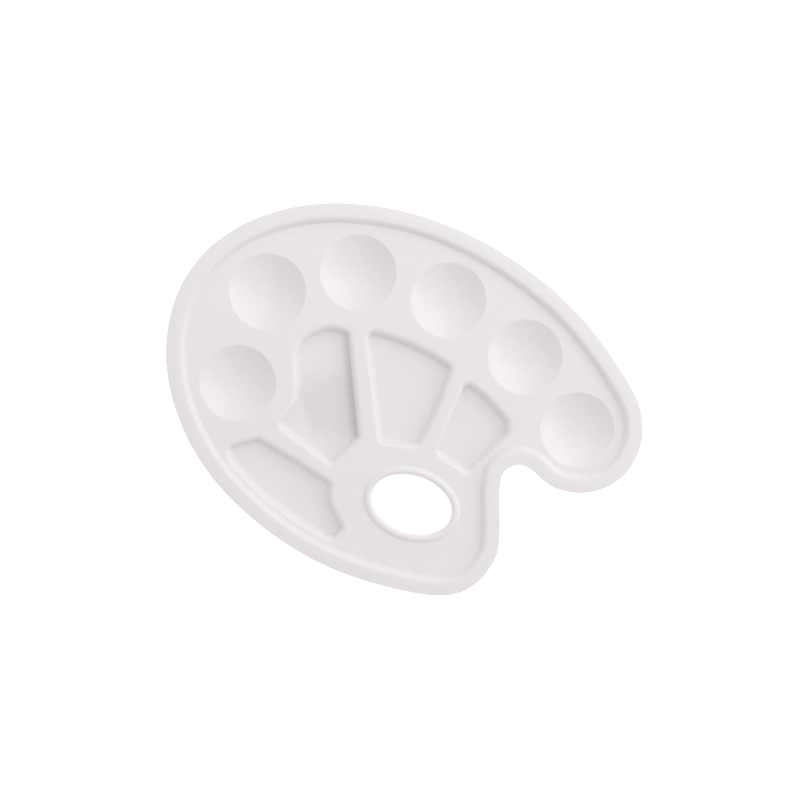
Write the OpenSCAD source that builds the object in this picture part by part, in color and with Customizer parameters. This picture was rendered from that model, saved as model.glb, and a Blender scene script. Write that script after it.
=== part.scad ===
// Artist's mixing palette: one thin-walled oval tray moulded in a single piece.
// Six round colour wells follow the long edge, four flat-bottomed mixing wells
// fill the middle, and the thumb hole and the finger notch are for the hand.
// z = 0 is the table under the well floors. +X runs along the long axis toward
// the finger notch, and +Y points toward the row of round wells.

/* [Overall] */
// Height of the rim's flat top above the table
rim_z = 10; // [9.6:0.1:12]
// Height of the deck's upper face above the table
deck_z = 7.2; // [6.6:0.1:7.8]
// Thickness of the moulded wall
wall = 1.4; // [1.2:0.1:1.6]

/* [Rim] */
// Width of the flat band on top of the rim
rim_w = 5.9; // [5:0.1:6.4]
// Width of the curved step from the rim down to the deck
step_w = 3.2; // [2.8:0.1:3.8]
// Fall of the band toward its outer edge
rim_fall = 0.2; // [0:0.1:0.5]
// Depth of the outer skirt, from the rim's top to its lower edge
skirt_h = 3.6; // [2.6:0.1:6]
// Rounding of the rim's outer edge
edge_r = 0.5; // [0.3:0.1:0.8]

/* [Round wells] */
// Radius of a round well where it meets the deck
well_r = 17.8; // [16:0.1:18]
// Height of the round wells' lowest point above the table
well_floor = 1.4; // [1.2:0.1:2.4]

/* [Mixing wells] */
// Height of the mixing wells' floors above the table
tray_floor = 2.4; // [1.4:0.1:2.6]
// Plan width of the sloped walls
draft_w = 2.4; // [1.8:0.1:2.8]
// Extra width of the curve from wall to floor
floor_blend = 0.3; // [0.2:0.1:0.5]

/* [Thumb hole] */
// Half the length of the thumb hole
thumb_a = 19.6; // [18:0.1:20.5]
// Half the width of the thumb hole
thumb_b = 13.5; // [12:0.1:14]
// Width of the raised collar round the hole
collar_w = 4.0; // [3:0.1:4.4]
// Height of the collar's crest above the deck
collar_h = 1.2; // [0.6:0.1:1.5]

/* [Hidden] */
plastic = [0.93, 0.91, 0.915];

// The outer edge, counter-clockwise from the right end: the oval's back and
// left, its front edge, the thumb lobe's tip, the notch, and the right lobe.
edge_points = [
    [114.9, 10.5], [113.2, 20.5], [109, 29], [102.2, 36.6], [87.5, 49.3],
    [71.2, 60.9], [53.7, 70.2], [35, 77.4], [16, 82.6], [-3.5, 85.5],
    [-23, 86], [-43, 83.6], [-62.5, 78.4], [-80.2, 69.7], [-96, 57.2],
    [-107.8, 41.2], [-114, 22.5], [-114.3, 3], [-109.2, -16.4], [-99.5, -34],
    [-86.8, -49], [-71.4, -61.4], [-54, -71.2], [-35.5, -78.7], [-16, -83.8],
    [3.5, -86], [23.5, -86], [38, -84.6], [46, -82.4], [52, -79],
    [58.5, -71.6], [62.2, -62.3], [63, -56.5], [62.4, -51.4], [57.2, -33],
    [55.1, -24.5], [55.2, -19], [58.4, -14.9], [63, -13.2], [68, -14.3],
    [77, -18.5], [87, -19.6], [96.5, -17.5], [105, -12.3], [111.4, -4.5],
    [114.4, 5]
];

// Centres of the six round wells, from the left end round to the right.
well_centres = [
    [-76.9, -12.3], [-74.8, 32.6], [-36.6, 52.8], [7.7, 52.1],
    [50.1, 36.4], [84, 10]
];

// Mixing wells where they meet the deck: corners as [x, y, corner radius],
// counter-clockwise.
kidney = [
    [-54.8, -27.1, 4.2], [-24.2, -38.9, 4], [-13.6, -22, 4.2],
    [-32.5, 26.3, 4.5], [-43.8, 26.2, 14], [-54.8, 17, 12],
    [-55.6, 7, 10], [-49.3, -12.1, 14]
];
crescent = [
    [-75.5, -42.3, 4.2], [-69.9, -50.6, 20], [-50, -62.5, 50],
    [-30, -69.7, 60], [-13.6, -73.6, 4.6], [-8.8, -65.3, 4],
    [-19.7, -53.9, 10], [-21.2, -45.1, 3.6], [-42, -38.5, 60],
    [-60.8, -33.3, 5], [-68.1, -37.3, 20]
];
trapezoid = [
    [-5.9, -22.1, 4], [5.1, -20.7, 40], [14, -18.9, 4], [17.8, 0, 80],
    [19.5, 23, 4.2], [8.1, 27, 60], [-10, 29.7, 80], [-27.5, 29.6, 4.2]
];
quarter = [
    [21, -19.4, 4], [30.1, -22.5, 60], [40.2, -25.4, 4],
    [54.2, -0.6, 4.4], [51.8, 5.8, 5], [39.9, 13.8, 50], [25, 19.9, 4.2],
    [22.9, 0, 120]
];
trays = [kidney, crescent, trapezoid, quarter];

// Thumb hole: centre and turn of its long axis.
thumb_at = [17.5, -45.6];
thumb_turn = -4.65;

// ---- Smooth closed curve through given points --------------------------
function nxt(i, n) = (i + 1) % n;
function prv(i, n) = (i + n - 1) % n;
function chords(P) = [for (i = [0 : len(P) - 1]) norm(P[nxt(i, len(P))] - P[i])];
// Tangents that make the curve's curvature continuous, found by relaxation.
function relax(P, h, m, k) = k == 0 ? m : relax(P, h, [
    for (i = [0 : len(P) - 1])
        let (n = len(P), a = prv(i, n), b = nxt(i, n), h0 = h[a], h1 = h[i])
        (3 * (h1 / h0 * (P[i] - P[a]) + h0 / h1 * (P[b] - P[i]))
            - h1 * m[a] - h0 * m[b]) / (2 * (h0 + h1))
], k - 1);
// Samples as [[x, y], [outward normal]].
function curve(P, step) =
    let (n = len(P), h = chords(P),
         m = relax(P, h, [for (i = [0 : n - 1])
             (P[nxt(i, n)] - P[prv(i, n)]) / (h[i] + h[prv(i, n)])], 24))
    [for (i = [0 : n - 1])
        let (k = max(2, ceil(h[i] / step)), b = nxt(i, n))
        for (j = [0 : k - 1])
            let (u = j / k, v = 1 - u,
                 p = v * v * (1 + 2 * u) * P[i] + u * v * v * h[i] * m[i]
                     + u * u * (3 - 2 * u) * P[b] - u * u * v * h[i] * m[b],
                 d = 6 * u * v * (P[b] - P[i]) / h[i]
                     + v * (1 - 3 * u) * m[i] + u * (3 * u - 2) * m[b])
            [p, [d[1], -d[0]] / norm(d)]];

// ---- Closed outline of straight sides and rounded corners --------------
function rounded(V) = [
    for (i = [0 : len(V) - 1])
        let (n = len(V), B = [V[i][0], V[i][1]], r = V[i][2],
             A = [V[prv(i, n)][0], V[prv(i, n)][1]],
             C = [V[nxt(i, n)][0], V[nxt(i, n)][1]],
             p = (A - B) / norm(A - B), q = (C - B) / norm(C - B),
             turn = cross(B - A, C - B) > 0 ? 1 : -1,
             half = acos(p * q) / 2,
             mid = B + (p + q) / norm(p + q) * r / sin(half),
             a0 = atan2(turn * p[0], -turn * p[1]),
             sweep = turn * (180 - 2 * half),
             steps = max(1, ceil(abs(sweep) / 15)))
        for (j = [0 : steps])
            let (a = a0 + sweep * j / steps, e = [cos(a), sin(a)])
            [mid + r * e, turn * e]];

// ---- Rings and solids made from them ------------------------------------
// The curve moved inward by d and set at height z.
function ring(S, d, z) = [for (s = S) concat(s[0] - d * s[1], z)];

// A closed tube of rings, such as the rim: the last ring meets the first.
module loop_solid(rings) {
    n = len(rings[0]);
    m = len(rings);
    polyhedron(
        points = [for (r = rings) for (p = r) p],
        faces = [for (i = [0 : m - 1]) for (j = [0 : n - 1])
            let (a = i * n + j, b = i * n + nxt(j, n),
                 c = nxt(i, m) * n + nxt(j, n), d = nxt(i, m) * n + j)
            for (f = [[a, c, b], [a, d, c]]) f],
        convexity = 8);
}

// A stack of rings closed by a fan of triangles below the first and above the
// last. Every outline used here is star-shaped about its points' mean.
function total(v, i = 0) = i == len(v) - 1 ? v[i] : v[i] + total(v, i + 1);
module stack_solid(rings) {
    n = len(rings[0]);
    m = len(rings);
    polyhedron(
        points = concat([for (r = rings) for (p = r) p],
                        [total(rings[0]) / n, total(rings[m - 1]) / n]),
        faces = concat(
            [for (i = [0 : m - 2]) for (j = [0 : n - 1])
                let (a = i * n + j, b = i * n + nxt(j, n),
                     c = (i + 1) * n + nxt(j, n), d = (i + 1) * n + j)
                for (f = [[a, c, b], [a, d, c]]) f],
            [for (j = [0 : n - 1]) [j, nxt(j, n), m * n]],
            [for (j = [0 : n - 1]) [(m - 1) * n + nxt(j, n), (m - 1) * n + j, m * n + 1]]),
        convexity = 8);
}

outline = curve(edge_points, 5);
deck_under = deck_z - wall;
rim_under = rim_z - wall;
inner_d = rim_w + step_w;

// Raised rim: skirt, rounded outer edge, flat band, sloped step onto the deck.
module rim() {
    profile = [
        [0, rim_z - skirt_h], [0, rim_z - edge_r - rim_fall],
        [edge_r * 0.3, rim_z - edge_r * 0.3 - rim_fall],
        [edge_r, rim_z - rim_fall * 0.92],
        [rim_w - 1.5, rim_z], [rim_w + 0.1, rim_z],
        [rim_w + 0.8, rim_z - 0.22], [rim_w + 1.4, rim_z - 0.65],
        [rim_w + 1.9, rim_z - 1.2], [inner_d - 0.5, deck_z + 0.28],
        [inner_d - 0.1, deck_z], [inner_d + 0.9, deck_z],
        [inner_d + 0.9, deck_under], [inner_d - 1.1, deck_under],
        [inner_d - 1.45, deck_under + 0.35], [rim_w + 0.5, rim_under - 0.5],
        [rim_w - 0.1, rim_under], [rim_w - 1.3, rim_under],
        [wall, rim_under - 0.3], [wall, rim_z - skirt_h]
    ];
    loop_solid([for (p = profile) ring(outline, p[0], p[1])]);
}

// Flat deck, reaching into the foot of the rim's step.
module deck() {
    translate([0, 0, deck_under])
        linear_extrude(height = wall)
            polygon([for (s = outline) s[0] - (inner_d + 0.5) * s[1]]);
}

// Round wells: shallow spherical bowls of even thickness.
bowl_h = deck_z - well_floor;
bowl_r = (well_r * well_r + bowl_h * bowl_h) / (2 * bowl_h);

module bowls_outside() {
    for (c = well_centres)
        translate([c[0], c[1], 0])
            intersection() {
                translate([0, 0, well_floor + bowl_r])
                    sphere(r = bowl_r + wall, $fn = 90);
                translate([0, 0, well_floor - wall])
                    cylinder(r = well_r + 4, h = deck_z - 0.5 - well_floor + wall, $fn = 72);
            }
}

module bowls_inside() {
    for (c = well_centres)
        translate([c[0], c[1], 0])
            intersection() {
                translate([0, 0, well_floor + bowl_r])
                    sphere(r = bowl_r, $fn = 90);
                cylinder(r = well_r + 1, h = deck_z + 0.3, $fn = 72);
            }
}

// Mixing wells: sloped walls and flat floors. Their undersides are the feet
// that the palette lies on.
module trays_outside() {
    for (V = trays) {
        S = rounded(V);
        stack_solid([
            ring(S, draft_w - wall * 0.45, 0),
            ring(S, draft_w - wall * 0.6, 0.6),
            ring(S, -wall * 0.2, deck_z - wall * 0.5)
        ]);
    }
}

module trays_inside() {
    for (V = trays) {
        S = rounded(V);
        stack_solid([
            ring(S, draft_w + floor_blend, tray_floor),
            ring(S, draft_w + floor_blend * 0.2, tray_floor + 0.15),
            ring(S, draft_w - 0.15, tray_floor + 0.55),
            ring(S, 1.5, deck_z - 1.8),
            ring(S, 1, deck_z - 0.86),
            ring(S, 0.4, deck_z - 0.36),
            ring(S, -0.2, deck_z - 0.11),
            ring(S, -0.75, deck_z + 0.1)
        ]);
    }
}

// Thumb hole with its raised, rounded collar.
function ellipse(a, b, n) = [for (i = [0 : n - 1])
    let (t = 360 * i / n, e = [b * cos(t), a * sin(t)])
    [[a * cos(t), b * sin(t)], e / norm(e)]];

thumb_edge = ellipse(thumb_a, thumb_b, 72);

module thumb_place() {
    translate([thumb_at[0], thumb_at[1], 0]) rotate(thumb_turn) children();
}

module collar() {
    crest = deck_z + collar_h;
    profile = [
        [0, deck_under - 0.4], [0, deck_z + 0.15], [-0.35, deck_z + 0.5],
        [-1.1, crest - 0.3], [-1.8, crest], [-2.5, crest],
        [-3.1, crest - 0.3], [-collar_w, deck_z + 0.15],
        [-collar_w - 0.5, deck_z - 0.15],
        [-collar_w - 0.5, deck_under + 0.3], [-collar_w - 0.4, deck_under - 0.1],
        [0.6 - collar_w, deck_under - 0.1],
        [-wall - 0.9, crest - wall - 0.1], [-wall - 0.1, crest - wall - 0.5],
        [-wall, deck_under - 0.4]
    ];
    thumb_place()
        loop_solid([for (i = [len(profile) - 1 : -1 : 0])
            let (p = profile[i]) ring(thumb_edge, p[0], p[1])]);
}

module thumb_cut() {
    thumb_place()
        translate([0, 0, -1])
            linear_extrude(height = rim_z + 2)
                polygon([for (s = thumb_edge) s[0] + (collar_w - 0.4) * s[1]]);
}

module palette() {
    color(plastic) {
        difference() {
            union() {
                rim();
                deck();
                bowls_outside();
                trays_outside();
            }
            bowls_inside();
            trays_inside();
            thumb_cut();
        }
        collar();
    }
}

palette();
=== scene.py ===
import math

import bpy
import numpy as np
from mathutils import Matrix, Vector, geometry


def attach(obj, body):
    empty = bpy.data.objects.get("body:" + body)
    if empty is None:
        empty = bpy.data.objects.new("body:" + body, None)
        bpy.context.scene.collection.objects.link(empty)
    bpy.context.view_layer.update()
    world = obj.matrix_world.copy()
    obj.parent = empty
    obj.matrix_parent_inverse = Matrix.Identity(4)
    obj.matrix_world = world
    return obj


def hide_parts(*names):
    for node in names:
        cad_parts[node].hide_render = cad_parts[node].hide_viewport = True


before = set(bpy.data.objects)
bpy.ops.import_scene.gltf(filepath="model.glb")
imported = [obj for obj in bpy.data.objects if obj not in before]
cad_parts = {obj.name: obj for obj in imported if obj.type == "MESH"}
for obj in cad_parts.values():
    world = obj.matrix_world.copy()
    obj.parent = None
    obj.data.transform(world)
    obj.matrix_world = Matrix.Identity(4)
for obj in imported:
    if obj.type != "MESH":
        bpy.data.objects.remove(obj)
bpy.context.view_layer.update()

MM = 0.001

# --------------------------------------------------------------------------
# Dimensions in millimetres, the same as the CAD model's.
# --------------------------------------------------------------------------
RIM_Z, DECK_Z, WALL = 10.0, 7.2, 1.4
RIM_W, STEP_W, SKIRT_H, RIM_FALL = 5.9, 3.2, 3.6, 0.2
WELL_R, WELL_FLOOR = 17.8, 1.4
TRAY_FLOOR, DRAFT_W, LIP_OUT = 2.4, 2.4, 0.9
THUMB_A, THUMB_B, COLLAR_W, COLLAR_H = 19.6, 13.5, 4.0, 1.2
THUMB_AT, THUMB_TURN = (17.5, -45.6), math.radians(-4.65)
DECK_UNDER = DECK_Z - WALL

EDGE = [
    (114.9, 10.5), (113.2, 20.5), (109, 29), (102.2, 36.6), (87.5, 49.3),
    (71.2, 60.9), (53.7, 70.2), (35, 77.4), (16, 82.6), (-3.5, 85.5),
    (-23, 86), (-43, 83.6), (-62.5, 78.4), (-80.2, 69.7), (-96, 57.2),
    (-107.8, 41.2), (-114, 22.5), (-114.3, 3), (-109.2, -16.4), (-99.5, -34),
    (-86.8, -49), (-71.4, -61.4), (-54, -71.2), (-35.5, -78.7), (-16, -83.8),
    (3.5, -86), (23.5, -86), (38, -84.6), (46, -82.4), (52, -79),
    (58.5, -71.6), (62.2, -62.3), (63, -56.5), (62.4, -51.4), (57.2, -33),
    (55.1, -24.5), (55.2, -19), (58.4, -14.9), (63, -13.2), (68, -14.3),
    (77, -18.5), (87, -19.6), (96.5, -17.5), (105, -12.3), (111.4, -4.5),
    (114.4, 5),
]
WELLS = [
    (-76.9, -12.3), (-74.8, 32.6), (-36.6, 52.8), (7.7, 52.1),
    (50.1, 36.4), (84, 10)
]
TRAYS = {
    "kidney": [
        (-54.8, -27.1, 4.2), (-24.2, -38.9, 4), (-13.6, -22, 4.2),
        (-32.5, 26.3, 4.5), (-43.8, 26.2, 14), (-54.8, 17, 12),
        (-55.6, 7, 10), (-49.3, -12.1, 14)
    ],
    "crescent": [
        (-75.5, -42.3, 4.2), (-69.9, -50.6, 20), (-50, -62.5, 50),
        (-30, -69.7, 60), (-13.6, -73.6, 4.6), (-8.8, -65.3, 4),
        (-19.7, -53.9, 10), (-21.2, -45.1, 3.6), (-42, -38.5, 60),
        (-60.8, -33.3, 5), (-68.1, -37.3, 20)
    ],
    "trapezoid": [
        (-5.9, -22.1, 4), (5.1, -20.7, 40), (14, -18.9, 4),
        (17.8, 0, 80), (19.5, 23, 4.2), (8.1, 27, 60), (-10, 29.7, 80),
        (-27.5, 29.6, 4.2)
    ],
    "quarter": [
        (21, -19.4, 4), (30.1, -22.5, 60), (40.2, -25.4, 4),
        (54.2, -0.6, 4.4), (51.8, 5.8, 5), (39.9, 13.8, 50),
        (25, 19.9, 4.2), (22.9, 0, 120)
    ],
}


# --------------------------------------------------------------------------
# Closed curves. Each is an array of rows x, y, outward normal x, y.
# --------------------------------------------------------------------------
def smooth_curve(points, step):
    p = np.array(points, float)
    n = len(p)
    h = np.hypot(*(np.roll(p, -1, 0) - p).T)[:, None]
    g = np.roll(h, 1, 0)
    m = (np.roll(p, -1, 0) - np.roll(p, 1, 0)) / (h + g)
    for _ in range(40):
        m = (3 * (h / g * (p - np.roll(p, 1, 0)) + g / h * (np.roll(p, -1, 0) - p))
             - h * np.roll(m, 1, 0) - g * np.roll(m, -1, 0)) / (2 * (h + g))
    out = []
    for i in range(n):
        b = (i + 1) % n
        k = max(2, math.ceil(h[i, 0] / step))
        for j in range(k):
            u = j / k
            v = 1 - u
            q = (v * v * (1 + 2 * u) * p[i] + u * v * v * h[i, 0] * m[i]
                 + u * u * (3 - 2 * u) * p[b] - u * u * v * h[i, 0] * m[b])
            d = (6 * u * v * (p[b] - p[i]) / h[i, 0]
                 + v * (1 - 3 * u) * m[i] + u * (3 * u - 2) * m[b])
            t = math.hypot(d[0], d[1])
            out.append((q[0], q[1], d[1] / t, -d[0] / t))
    return np.array(out)


def rounded(corners, degrees=6.0, spacing=1.6):
    """Straight sides joined by arcs, with points along the sides too."""
    v = np.array(corners, float)
    n = len(v)
    arcs = []
    for i in range(n):
        a, b, c, r = v[i - 1, :2], v[i, :2], v[(i + 1) % n, :2], v[i, 2]
        p = (a - b) / np.hypot(*(a - b))
        q = (c - b) / np.hypot(*(c - b))
        turn = 1 if (b - a)[0] * (c - b)[1] - (b - a)[1] * (c - b)[0] > 0 else -1
        half = math.acos(max(-1, min(1, float(p @ q)))) / 2
        mid = b + (p + q) / np.hypot(*(p + q)) * r / math.sin(half)
        a0 = math.atan2(turn * p[0], -turn * p[1])
        sweep = turn * (math.pi - 2 * half)
        steps = max(2, math.ceil(abs(math.degrees(sweep)) / degrees),
                    math.ceil(abs(sweep) * r / spacing))
        arc = []
        for j in range(steps + 1):
            e = (math.cos(a0 + sweep * j / steps), math.sin(a0 + sweep * j / steps))
            arc.append((mid[0] + r * e[0], mid[1] + r * e[1], turn * e[0], turn * e[1]))
        arcs.append(arc)
    out = []
    for i in range(n):
        out += arcs[i]
        s, e = np.array(arcs[i][-1]), np.array(arcs[(i + 1) % n][0])
        gap = math.hypot(*(e - s)[:2])
        k = int(gap / spacing)
        for j in range(1, k + 1):
            w = s + (e - s) * j / (k + 1)
            w[2:] /= math.hypot(w[2], w[3])
            out.append(tuple(w))
    keep = [out[0]]
    for w in out[1:]:
        if math.hypot(w[0] - keep[-1][0], w[1] - keep[-1][1]) > 0.05:
            keep.append(w)
    if math.hypot(keep[0][0] - keep[-1][0], keep[0][1] - keep[-1][1]) <= 0.05:
        keep.pop()
    return np.array(keep)


def circle(cx, cy, r, n):
    t = np.arange(n) * 2 * math.pi / n
    return np.stack([cx + r * np.cos(t), cy + r * np.sin(t), np.cos(t), np.sin(t)], 1)


def ellipse(n):
    t = np.arange(n) * 2 * math.pi / n
    x, y = THUMB_A * np.cos(t), THUMB_B * np.sin(t)
    nx, ny = THUMB_B * np.cos(t), THUMB_A * np.sin(t)
    s = np.hypot(nx, ny)
    nx, ny = nx / s, ny / s
    c, d = math.cos(THUMB_TURN), math.sin(THUMB_TURN)
    return np.stack([THUMB_AT[0] + x * c - y * d, THUMB_AT[1] + x * d + y * c,
                     nx * c - ny * d, nx * d + ny * c], 1)


# --------------------------------------------------------------------------
# Profiles. A profile is a list of (d, z): d is the distance inward from the
# curve. Corners given as (d, z, radius) are turned into arcs.
# --------------------------------------------------------------------------
def filleted(points, degrees=11.0):
    out = [points[0][:2]]
    for i in range(1, len(points) - 1):
        a, b, c = (np.array(points[k][:2], float) for k in (i - 1, i, i + 1))
        r = points[i][2] if len(points[i]) > 2 else 0
        p = (a - b) / np.hypot(*(a - b))
        q = (c - b) / np.hypot(*(c - b))
        half = math.acos(max(-1, min(1, float(p @ q)))) / 2
        if r == 0 or half > math.radians(89.5):
            out.append(tuple(b))
            continue
        mid = b + (p + q) / np.hypot(*(p + q)) * r / math.sin(half)
        s = b + p * r / math.tan(half) - mid
        e = b + q * r / math.tan(half) - mid
        sweep = math.pi - 2 * half
        sign = 1 if s[0] * e[1] - s[1] * e[0] > 0 else -1
        a0 = math.atan2(s[1], s[0])
        steps = max(2, math.ceil(math.degrees(sweep) / degrees))
        for j in range(steps + 1):
            t = a0 + sign * sweep * j / steps
            out.append((mid[0] + r * math.cos(t), mid[1] + r * math.sin(t)))
    out.append(points[-1][:2])
    keep = [out[0]]
    for w in out[1:]:
        if math.hypot(w[0] - keep[-1][0], w[1] - keep[-1][1]) > 0.004:
            keep.append(w)
    return keep


# --------------------------------------------------------------------------
# Mesh builder
# --------------------------------------------------------------------------
class Shell:
    def __init__(self):
        self.v = []
        self.f = []

    def ring(self, s, d, z):
        base = len(self.v)
        for x, y, nx, ny in s:
            self.v.append((x - d * nx, y - d * ny, z))
        return list(range(base, base + len(s)))

    def strip(self, a, b):
        n = len(a)
        for j in range(n):
            k = (j + 1) % n
            self.f.append((a[j], a[k], b[k], b[j]))

    def sweep(self, s, profile):
        rings = [self.ring(s, d, z) for d, z in profile]
        for a, b in zip(rings, rings[1:]):
            self.strip(a, b)
        return rings[0], rings[-1]

    def fan(self, ring, up):
        c = np.mean([self.v[i] for i in ring], axis=0)
        self.v.append(tuple(c))
        m = len(self.v) - 1
        n = len(ring)
        for j in range(n):
            k = (j + 1) % n
            self.f.append((ring[j], ring[k], m) if up else (ring[k], ring[j], m))

    def fill(self, outer, holes, z, up, pitch):
        """Flat region between closed rings, meshed with an even inner grid."""
        loops = [outer] + holes
        idx = [i for l in loops for i in l]
        xy = np.array([self.v[i][:2] for i in idx])
        edges, o = [], 0
        for l in loops:
            n = len(l)
            edges += [(o + j, o + (j + 1) % n) for j in range(n)]
            o += n
        polys = [np.array([self.v[i][:2] for i in l]) for l in loops]

        def inside(p, q):
            x, y = p[:, 0][:, None], p[:, 1][:, None]
            x0, y0 = q[:, 0], q[:, 1]
            x1, y1 = np.roll(x0, -1), np.roll(y0, -1)
            hit = ((y0 > y) != (y1 > y)) & (x < (x1 - x0) * (y - y0) / (y1 - y0 + 1e-30) + x0)
            return hit.sum(1) % 2 == 1

        lo, hi = xy.min(0), xy.max(0)
        grid = []
        row = 0
        y = lo[1] + pitch * 0.5
        while y < hi[1]:
            x = lo[0] + pitch * (0.25 + 0.5 * (row % 2))
            while x < hi[0]:
                grid.append((x, y))
                x += pitch
            y += pitch * 0.866
            row += 1
        grid = np.array(grid)
        ok = inside(grid, polys[0])
        for q in polys[1:]:
            ok &= ~inside(grid, q)
        grid = grid[ok]
        near = np.full(len(grid), 1e9)
        for q in polys:
            for k in range(0, len(q), 200):
                w = q[k:k + 200]
                near = np.minimum(near, np.hypot(grid[:, 0][:, None] - w[:, 0],
                                                 grid[:, 1][:, None] - w[:, 1]).min(1))
        grid = grid[near > pitch * 0.45]
        base = len(self.v)
        for x, y in grid:
            self.v.append((float(x), float(y), z))
        coords = [Vector((float(x), float(y))) for x, y in xy]
        coords += [Vector((float(x), float(y))) for x, y in grid]
        res = geometry.delaunay_2d_cdt(coords, edges, [], 0, 1e-7, True)
        new_v, tris, orig = res[0], res[2], res[3]
        source = []
        for k, o in enumerate(orig):
            if not o:
                raise RuntimeError("the filling made a new point at %s, z %s"
                                   % (tuple(round(c, 3) for c in new_v[k]), z))
            source.append(o[0])
        # A triangle on a border edge is inside when it has the region on its
        # left there. The others take it from their neighbours.
        border = set()
        o = 0
        for which, (l, q) in enumerate(zip(loops, polys)):
            n = len(l)
            x, y = q[:, 0], q[:, 1]
            ccw = (x * np.roll(y, -1) - np.roll(x, -1) * y).sum() > 0
            for j in range(n):
                e = (o + j, o + (j + 1) % n)
                border.add(e if ccw == (which == 0) else e[::-1])
            o += n
        tri = [[source[q] for q in t] for t in tris]
        sides = [list(zip(t, t[1:] + t[:1])) for t in tri]
        owner = {e: k for k, es in enumerate(sides) for e in es}
        state = {}
        for k, es in enumerate(sides):
            if any(e in border for e in es):
                state[k] = True
            elif any(e[::-1] in border for e in es):
                state[k] = False
        front = list(state)
        while front:
            k = front.pop()
            for e in sides[k]:
                if e in border or e[::-1] in border:
                    continue
                other = owner.get(e[::-1])
                if other is not None and other not in state:
                    state[other] = state[k]
                    front.append(other)
        kept = [t for k, t in enumerate(tri) if state.get(k)]
        # Points dead in line on a straight side get no triangle: add them.
        used = {e for t in kept for e in zip(t, t[1:] + t[:1])}
        after = {a: b for a, b in border if (a, b) not in used}
        for a in set(after) - set(after.values()):
            b = after[a]
            while b in after:
                kept.append([a, b, after[b]])
                b = after[b]
        for t in kept:
            i, j, k = (idx[q] if q < len(idx) else base + q - len(idx) for q in t)
            self.f.append((i, j, k) if up else (i, k, j))


shell = Shell()

# Rim, in one sweep: from the deck's underside out under the rim, down inside
# the skirt, round its lower edge, up outside it, over the rounded outer edge,
# along the flat band and down the curved step onto the deck.
INNER = RIM_W + STEP_W
edge = smooth_curve(EDGE, 1.1)
rim_profile = filleted([
    (INNER - 0.95, DECK_UNDER), (INNER - 1.26, DECK_UNDER, 0.35),
    (RIM_W + 0.34, RIM_Z - WALL, 1.2), (RIM_W - 1.3, RIM_Z - WALL),
    (WALL, RIM_Z - WALL - 0.3, 0.5), (WALL - 0.12, RIM_Z - SKIRT_H, 0.25),
    (0.12, RIM_Z - SKIRT_H, 0.35), (0.0, RIM_Z - 0.75, 0.0),
    (0.02, RIM_Z - RIM_FALL, 0.45), (RIM_W - 1.5, RIM_Z, 10.0),
    (RIM_W + 1.3, RIM_Z, 2.2), (INNER - 0.35, DECK_Z, 0.4), (INNER + 0.05, DECK_Z)])
under_outer, deck_outer = shell.sweep(edge, rim_profile)

# Thumb hole collar, in one sweep from the deck, over the bead, down the
# hole's wall and back under the bead to the deck's underside.
thumb = ellipse(160)
crest = DECK_Z + COLLAR_H
collar_profile = filleted([
    (-COLLAR_W - 0.9, DECK_Z), (-COLLAR_W - 0.1, DECK_Z, 1.2),
    (-2.15, crest + 0.25, 2.0), (-0.15, DECK_Z + 0.35, 0.5),
    (0.0, DECK_UNDER - 0.4, 0.25), (-WALL + 0.1, DECK_UNDER - 0.4, 0.25),
    (-WALL + 0.05, crest - WALL - 0.4, 0.4), (-2.3, crest - WALL - 0.2, 0.4),
    (-COLLAR_W + 0.5, DECK_UNDER, 0.6), (-COLLAR_W - 0.9, DECK_UNDER)])
collar_top, collar_under = shell.sweep(thumb, collar_profile)

top_holes, under_holes = [collar_top], [collar_under]

# Round wells: a sphere of even wall, a small rounded lip above and a small
# blend below.
bowl_h = DECK_Z - WELL_FLOOR
bowl_r = (WELL_R ** 2 + bowl_h ** 2) / (2 * bowl_h)
bowl_z = WELL_FLOOR + bowl_r


def bowl_profile(radius, z_flat, r, steps, flat_extra):
    """(distance from the axis, z) from the flat deck in to near the pole."""
    if r > 0:                       # convex lip, seen from above
        zf = z_flat - r
        reach = radius + r
    else:                           # concave blend, seen from below
        zf = z_flat + r
        reach = radius - r
    rf = math.sqrt(reach ** 2 - (bowl_z - zf) ** 2)
    dx, dz = rf, zf - bowl_z
    tx, tz = dx / reach * radius, bowl_z + dz / reach * radius
    out = [(rf + flat_extra, z_flat)]
    a0 = math.pi / 2
    a1 = math.atan2(tz - zf, tx - rf)
    for j in range(7):
        a = a0 + (a1 - a0) * j / 6
        out.append((rf + abs(r) * math.cos(a), zf + abs(r) * math.sin(a)))
    t0 = math.asin(tx / radius)
    for j in range(1, steps + 1):
        t = t0 * (1 - j / steps) + 0.012 * j / steps
        out.append((radius * math.sin(t), bowl_z - radius * math.cos(t)))
    return out


def bowl_under_profile(radius, z_flat, r, steps, flat_extra):
    zf = z_flat - r
    reach = radius + r
    rf = math.sqrt(reach ** 2 - (bowl_z - zf) ** 2)
    tx, tz = rf / reach * radius, bowl_z + (zf - bowl_z) / reach * radius
    out = [(rf + flat_extra, z_flat)]
    a0, a1 = math.pi / 2, math.atan2(tz - zf, tx - rf)
    for j in range(7):
        a = a0 + (a1 - a0) * j / 6
        out.append((rf + r * math.cos(a), zf + r * math.sin(a)))
    t0 = math.asin(tx / radius)
    for j in range(1, steps + 1):
        t = t0 * (1 - j / steps) + 0.012 * j / steps
        out.append((radius * math.sin(t), bowl_z - radius * math.cos(t)))
    return out


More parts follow.
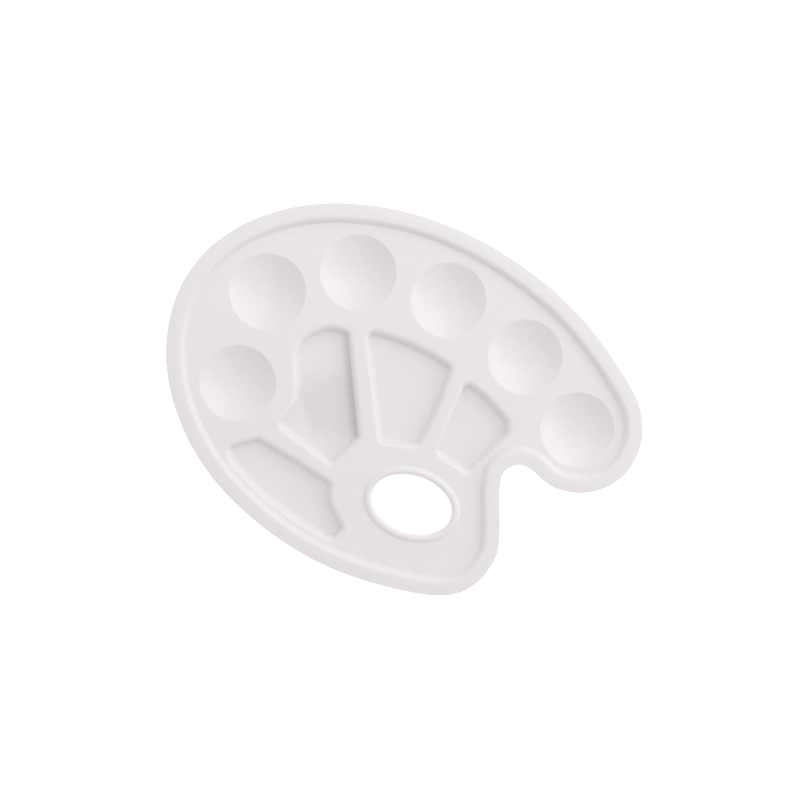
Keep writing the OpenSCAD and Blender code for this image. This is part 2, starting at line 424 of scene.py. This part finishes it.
for x, y in WELLS:
    unit = circle(x, y, 1.0, 112)
    top = [(1 - d, z) for d, z in bowl_profile(bowl_r, DECK_Z, 0.7, 22, 0.3)]
    rings = [shell.ring(unit, d, z) for d, z in top]
    for a, b in zip(rings, rings[1:]):
        shell.strip(a, b)
    shell.fan(rings[-1], True)
    top_holes.append(rings[0])
    low = [(1 - d, z) for d, z in bowl_under_profile(bowl_r + WALL, DECK_UNDER, 1.0, 22, 0.3)]
    rings = [shell.ring(unit, d, z) for d, z in low]
    for a, b in zip(rings, rings[1:]):
        shell.strip(b, a)
    shell.fan(rings[-1], False)
    under_holes.append(rings[0])

# Mixing wells: rounded lip, sloped wall, small blend, flat floor. The floors'
# undersides are the flat feet.
depth = DECK_Z - TRAY_FLOOR
LIP_D = 1.0                        # where the wall's line meets the deck
slope = math.atan2(depth, DRAFT_W - LIP_D)
wall_x = WALL / math.sin(slope)


def lipped(s, widest):
    """The rounded lip's inner start at each point: narrower beside the rim."""
    gap = np.array([np.hypot(edge[:, 0] - x, edge[:, 1] - y).min() for x, y in s[:, :2]])
    for _ in range(12):
        gap = np.minimum(gap, (np.roll(gap, 1) + np.roll(gap, -1)) / 2 + 0.02)
    return np.clip(gap - INNER - 0.12, 0.45, widest)


for name, corners in TRAYS.items():
    s = rounded(corners)
    start = lipped(s, LIP_OUT)
    reach = start + LIP_D           # from the lip's start to the wall's line
    radius = reach / math.tan(slope / 2)
    rings = []
    for j in range(11):
        t = slope * j / 10
        d = -start + radius * np.sin(t)
        z = DECK_Z - radius * (1 - np.cos(t))
        base = len(shell.v)
        for (x, y, nx, ny), dd, zz in zip(s, d, z):
            shell.v.append((x - dd * nx, y - dd * ny, float(zz)))
        rings.append(list(range(base, base + len(s))))
    foot = filleted([(LIP_D + 0.6 * (DRAFT_W - LIP_D), DECK_Z - 0.6 * depth),
                     (DRAFT_W + 0.05, TRAY_FLOOR, 0.35), (DRAFT_W + 0.8, TRAY_FLOOR)])
    rings += [shell.ring(s, d, z) for d, z in foot]
    for a, b in zip(rings, rings[1:]):
        shell.strip(a, b)
    top_holes.append(rings[0])
    shell.fill(rings[-1], [], TRAY_FLOOR, True, 3.0)
    d_top = LIP_D + (DECK_Z - DECK_UNDER) / depth * (DRAFT_W - LIP_D) - wall_x
    d_low = LIP_D + DECK_Z / depth * (DRAFT_W - LIP_D) - wall_x
    low = filleted([(d_top - 0.17, DECK_UNDER), (d_top, DECK_UNDER, 0.2),
                    (d_low, 0.0, 0.9), (d_low + 0.95, 0.0)])
    rings = [shell.ring(s, d, z) for d, z in low]
    for a, b in zip(rings, rings[1:]):
        shell.strip(b, a)
    under_holes.append(rings[0])
    shell.fill(rings[-1], [], 0.0, False, 3.0)

shell.fill(deck_outer, top_holes, DECK_Z, True, 2.6)
shell.fill(under_outer, under_holes, DECK_UNDER, False, 2.6)


def build(name, s):
    v = np.array(s.v)
    # Slow, shallow waves of a cooled moulding: never above the true height,
    # nothing at the feet.
    x, y, z = v[:, 0], v[:, 1], v[:, 2]
    wave = (0.5 + 0.25 * np.sin(x * 0.052 + 0.9 + 0.6 * np.sin(y * 0.041))
            + 0.25 * np.sin(y * 0.071 - 1.3 + 0.8 * np.sin(x * 0.033)))
    v[:, 2] = z - 0.10 * wave * np.clip((z - 1.5) / 5.0, 0, 1)
    mesh = bpy.data.meshes.new(name)
    mesh.from_pydata((v * MM).tolist(), [], s.f)
    mesh.validate()
    mesh.update()
    mesh.shade_smooth()
    ob = bpy.data.objects.new(name, mesh)
    bpy.context.scene.collection.objects.link(ob)
    return ob


palette = build("palette_shell", shell)

# Each round well's own polar coordinates (cosine, sine, radius over the
# well's radius), for the wiping marks in it; elsewhere the radius reads 9.
around = palette.data.attributes.new("well_polar", "FLOAT_VECTOR", "POINT")
polar = np.zeros((len(palette.data.vertices), 3))
polar[:, 2] = 9.0
where = np.empty(len(palette.data.vertices) * 3)
palette.data.vertices.foreach_get("co", where)
where = where.reshape(-1, 3) / MM
for x, y in WELLS:
    dx, dy = where[:, 0] - x, where[:, 1] - y
    r = np.hypot(dx, dy)
    here = (r < WELL_R + 1.5) & (where[:, 2] > WELL_FLOOR - 0.2)
    polar[here, 0] = dx[here] / np.maximum(r[here], 0.3) + x * 0.31
    polar[here, 1] = dy[here] / np.maximum(r[here], 0.3) + y * 0.23
    polar[here, 2] = r[here] / WELL_R
around.data.foreach_set("vector", polar.ravel())


# --------------------------------------------------------------------------
# Material: white injection-moulded plastic with a soft sheen
# --------------------------------------------------------------------------
class Nodes:
    def __init__(self, tree):
        self.t = tree
        tree.nodes.clear()

    def new(self, kind, **props):
        n = self.t.nodes.new(kind)
        for k, v in props.items():
            if k == "inputs":
                for name, val in v.items():
                    n.inputs[name].default_value = val
            else:
                setattr(n, k, v)
        return n

    def link(self, a, b):
        self.t.links.new(a, b)

    def math(self, op, a, b=None, clamp=False):
        n = self.new("ShaderNodeMath", operation=op, use_clamp=clamp)
        for i, v in enumerate((a, b)):
            if v is None:
                continue
            if isinstance(v, (int, float)):
                n.inputs[i].default_value = v
            else:
                self.link(v, n.inputs[i])
        return n.outputs[0]

    def span(self, value, a, b, lo=0.0, hi=1.0, smooth=True):
        n = self.new("ShaderNodeMapRange", clamp=True,
                     interpolation_type="SMOOTHSTEP" if smooth else "LINEAR")
        self.link(value, n.inputs["Value"])
        n.inputs["From Min"].default_value = a
        n.inputs["From Max"].default_value = b
        n.inputs["To Min"].default_value = lo
        n.inputs["To Max"].default_value = hi
        return n.outputs["Result"]


def plastic():
    mat = bpy.data.materials.new("white_moulded_plastic")
    mat.use_nodes = True
    g = Nodes(mat.node_tree)
    out = g.new("ShaderNodeOutputMaterial")
    bsdf = g.new("ShaderNodeBsdfPrincipled")
    g.link(bsdf.outputs[0], out.inputs[0])
    co = g.new("ShaderNodeTexCoord").outputs["Object"]
    xyz = g.new("ShaderNodeSeparateXYZ")
    g.link(co, xyz.inputs[0])
    px, py, pz = xyz.outputs

    def noise(scale, detail=2.0, rough=0.5, stretch=None, turn=0.0, distort=0.0):
        src = co
        if stretch:
            m = g.new("ShaderNodeMapping")
            m.inputs["Rotation"].default_value = (0, 0, turn)
            m.inputs["Scale"].default_value = stretch
            g.link(co, m.inputs[0])
            src = m.outputs[0]
        n = g.new("ShaderNodeTexNoise",
                  inputs={"Scale": scale, "Detail": detail, "Roughness": rough,
                          "Distortion": distort})
        g.link(src, n.inputs["Vector"])
        return n.outputs["Fac"]

    # Broad unevenness of the pigment, and a finer mottle.
    cloud = noise(16, 3.0, 0.55, distort=0.4)
    mottle = noise(190, 3.0, 0.6)
    # Darker grey patch on the long mixing well's floor: soft, it starts part
    # of the way down it and is patchy at its edge.
    film = noise(55, 3.0, 0.6, distort=0.8)
    edge_noise = g.math("MULTIPLY", g.math("SUBTRACT", film, 0.5), 0.030)
    along = g.math("ADD", g.math("ADD", py, g.math("MULTIPLY", px, -0.45)), edge_noise)
    low = g.span(along, 0.032, 0.012)
    tail = g.span(g.math("ADD", py, g.math("MULTIPLY", edge_noise, 0.7)), -0.0310, -0.0200)
    back_off = g.math("MULTIPLY", g.math("MINIMUM", g.math("ADD", py, 0.009), 0.0), 0.6)
    left = g.span(g.math("ADD", g.math("ADD", px, back_off),
                         g.math("MULTIPLY", edge_noise, 0.6)), -0.0520, -0.0445)
    right = g.span(g.math("ADD", px, g.math("MULTIPLY", py, 0.40)), -0.0165, -0.0205)
    floor_only = g.span(pz, 0.0036, 0.0027)
    grey_floor_patch = g.math("MULTIPLY", g.math("MULTIPLY", low, tail),
                   g.math("MULTIPLY", left, g.math("MULTIPLY", right, floor_only)))
    # Painted shade in the corner at the foot of that well's right-hand wall.
    to_wall = g.math("ADD", g.math("MULTIPLY", px, 0.93), g.math("MULTIPLY", py, 0.36))
    corner = g.math("MULTIPLY", g.span(to_wall, -0.0272, -0.0238), g.span(pz, 0.0054, 0.0038))
    reach_y = g.math("MULTIPLY", g.span(py, -0.0270, -0.0160), g.span(py, 0.0290, 0.0180))
    reach_x = g.math("MULTIPLY", g.span(px, -0.0500, -0.0440), g.span(to_wall, -0.0196, -0.0202))
    painted_corner_shade = g.math("MULTIPLY", corner, g.math("MULTIPLY", reach_y, reach_x))

    # Wiping marks in the round wells: faint streaks running out from the
    # middle, and a blotchy film of old paint.
    polar = g.new("ShaderNodeAttribute", attribute_name="well_polar",
                  attribute_type="GEOMETRY").outputs["Vector"]
    parts = g.new("ShaderNodeSeparateXYZ")
    g.link(polar, parts.inputs[0])
    in_well = g.span(parts.outputs[2], 1.0, 0.90)
    spokes = g.new("ShaderNodeTexNoise", inputs={"Scale": 7.0, "Detail": 4.0,
                   "Roughness": 0.65, "Distortion": 0.25})
    g.link(polar, spokes.inputs["Vector"])
    blotch = noise(330, 3.0, 0.65)
    marks = g.math("MULTIPLY", g.math("ADD",
                   g.math("MULTIPLY", g.math("SUBTRACT", spokes.outputs["Fac"], 0.5), 0.60),
                   g.math("MULTIPLY", g.math("SUBTRACT", blotch, 0.5), 0.50)), in_well)

    tone = g.math("ADD", g.math("MULTIPLY", g.math("SUBTRACT", cloud, 0.5), 0.030),
                  g.math("ADD", g.math("MULTIPLY", g.math("SUBTRACT", mottle, 0.5), 0.024),
                         g.math("MULTIPLY", marks, 0.085)))
    # Base colour: random tone, darkened by the grey floor patch and by the painted shade in the
    # corner.
    shade = g.math("ADD", 1.0, g.math("SUBTRACT", tone,
                   g.math("ADD", g.math("MULTIPLY", grey_floor_patch, 0.085),
                          g.math("MULTIPLY", painted_corner_shade, 0.120))))
    base = g.new("ShaderNodeMix", data_type="RGBA", blend_type="MULTIPLY")
    base.inputs["Factor"].default_value = 1.0
    base.inputs["A"].default_value = BASE
    grey = g.new("ShaderNodeCombineColor")
    for i in range(3):
        g.link(shade, grey.inputs[i])
    g.link(grey.outputs[0], base.inputs["B"])
    g.link(base.outputs["Result"], bsdf.inputs["Base Color"])

    # Fine scratches from washing and brushes, in two crossing directions,
    # stronger inside the wells than on the rim.
    s1 = noise(1.0, 2.0, 0.5, stretch=(55, 1500, 400), turn=0.5, distort=0.15)
    s2 = noise(1.0, 2.0, 0.5, stretch=(1300, 60, 400), turn=0.2, distort=0.15)
    hair = g.math("ADD", g.span(s1, 0.60, 0.72), g.span(s2, 0.62, 0.74))
    inside = g.span(pz, 0.0079, 0.0055, 0.35, 1.0)
    hair = g.math("MULTIPLY", hair, inside)
    rough = g.math("ADD", ROUGH, g.math("ADD",
                   g.math("MULTIPLY", g.math("SUBTRACT", mottle, 0.5), 0.16),
                   g.math("SUBTRACT", g.math("MULTIPLY", hair, 0.07),
                          g.math("MULTIPLY", marks, 0.55))))
    g.link(rough, bsdf.inputs["Roughness"])

    grain = noise(2600, 2.0, 0.6)
    peel = noise(420, 2.0, 0.5)
    height = g.math("ADD", g.math("MULTIPLY", grain, 0.35),
                    g.math("SUBTRACT", peel, g.math("MULTIPLY", hair, 0.55)))
    bump = g.new("ShaderNodeBump", inputs={"Strength": 0.35, "Distance": 0.00006})
    g.link(height, bump.inputs["Height"])
    g.link(bump.outputs[0], bsdf.inputs["Normal"])

    bsdf.inputs["IOR"].default_value = 1.49
    bsdf.inputs["Subsurface Weight"].default_value = 0.12
    bsdf.inputs["Subsurface Radius"].default_value = (1.0, 0.85, 0.8)
    bsdf.inputs["Subsurface Scale"].default_value = 0.0012
    return mat


BASE = (0.872, 0.8385, 0.852, 1.0)
ROUGH = 0.36
palette.data.materials.append(plastic())

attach(palette, "root")
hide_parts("palette")


# --------------------------------------------------------------------------
# Stage, light and camera
# --------------------------------------------------------------------------
def floor_material():
    mat = bpy.data.materials.new("white_table")
    mat.use_nodes = True
    g = Nodes(mat.node_tree)
    out = g.new("ShaderNodeOutputMaterial")
    bsdf = g.new("ShaderNodeBsdfPrincipled")
    g.link(bsdf.outputs[0], out.inputs[0])
    bsdf.inputs["Base Color"].default_value = (0.96, 0.96, 0.96, 1)
    bsdf.inputs["Roughness"].default_value = 0.9
    bsdf.inputs["Specular IOR Level"].default_value = 0.1
    bsdf.inputs["Emission Color"].default_value = (1, 1, 1, 1)
    bsdf.inputs["Emission Strength"].default_value = 0.45
    return mat


half = 3.0
mesh = bpy.data.meshes.new("table")
mesh.from_pydata([(-half, -half, -0.0002), (half, -half, -0.0002),
                  (half, half, -0.0002), (-half, half, -0.0002)], [], [(0, 1, 2, 3)])
mesh.update()
table = bpy.data.objects.new("table", mesh)
bpy.context.scene.collection.objects.link(table)
mesh.materials.append(floor_material())

scene = bpy.context.scene
scene.view_settings.view_transform = "Standard"
scene.view_settings.look = "None"
scene.view_settings.exposure = 0.0
scene.view_settings.gamma = 1.0

world = bpy.data.worlds.new("studio")
scene.world = world
world.use_nodes = True
sky = Nodes(world.node_tree)
sky_out = sky.new("ShaderNodeOutputWorld")
sky_bg = sky.new("ShaderNodeBackground", inputs={"Color": (1.0, 0.980, 0.962, 1), "Strength": 0.672})
sky.link(sky_bg.outputs[0], sky_out.inputs[0])


def softbox(name, azimuth, elevation, distance, width, height, power,
            colour=(0.94, 1.0, 1.015)):
    data = bpy.data.lights.new(name, "AREA")
    data.shape = "RECTANGLE"
    data.size, data.size_y = width, height
    data.energy = power
    data.color = colour
    ob = bpy.data.objects.new(name, data)
    az, el = math.radians(azimuth), math.radians(elevation)
    way = Vector((math.cos(el) * math.cos(az), math.cos(el) * math.sin(az), math.sin(el)))
    ob.location = way * distance
    ob.rotation_euler = way.to_track_quat("Z", "Y").to_euler()
    bpy.context.scene.collection.objects.link(ob)
    return ob


# A broad soft bank of light behind and to the right, falling off to the left.
softbox("key_high_back", 92, 56, 0.78, 0.50, 0.30, 0.42)
softbox("key_high_side", 40, 58, 0.95, 0.60, 0.35, 0.34)
softbox("key_mid", 38, 35, 1.30, 0.95, 0.60, 1.20)
softbox("key_mid_back", 66, 33, 0.95, 0.70, 0.45, 0.46)
softbox("key_low_side", 10, 20, 1.40, 1.00, 0.44, 2.25)
softbox("key_low_back", 70, 20, 1.00, 0.95, 0.32, 0.84)
softbox("fill_top", 140, 70, 0.80, 0.42, 0.42, 0.22)
softbox("fill_left_back", 150, 30, 0.80, 0.60, 0.40, 0.22)
softbox("fill_left", 200, 30, 0.95, 0.70, 0.45, 0.12)

# The view is nearly straight down on the tray, with its long axis turned in
# the frame, from half a metre away.
tilt, lean, turn = math.radians(4.5), math.radians(148.0), math.radians(15.8)
reach = 0.5
aim = Vector((-0.00167, 0.00079, 0.009))
back = Vector((math.sin(tilt) * math.cos(lean), math.sin(tilt) * math.sin(lean), math.cos(tilt)))
tip = Matrix.Rotation(tilt, 3, Vector((-math.sin(lean), math.cos(lean), 0)))
right = tip @ Vector((math.cos(turn), math.sin(turn), 0))
up = back.cross(right)
cam = bpy.data.cameras.new("camera")
cam.sensor_width = 36.0
cam.lens = 1063.49 * 36.0 / 800.0
cam.clip_start = 0.01
cam.clip_end = 50
cam_ob = bpy.data.objects.new("camera", cam)
cam_ob.matrix_world = Matrix.Translation(aim + back * reach) @ Matrix(
    (right, up, back)).transposed().to_4x4()
scene.collection.objects.link(cam_ob)
scene.camera = cam_ob
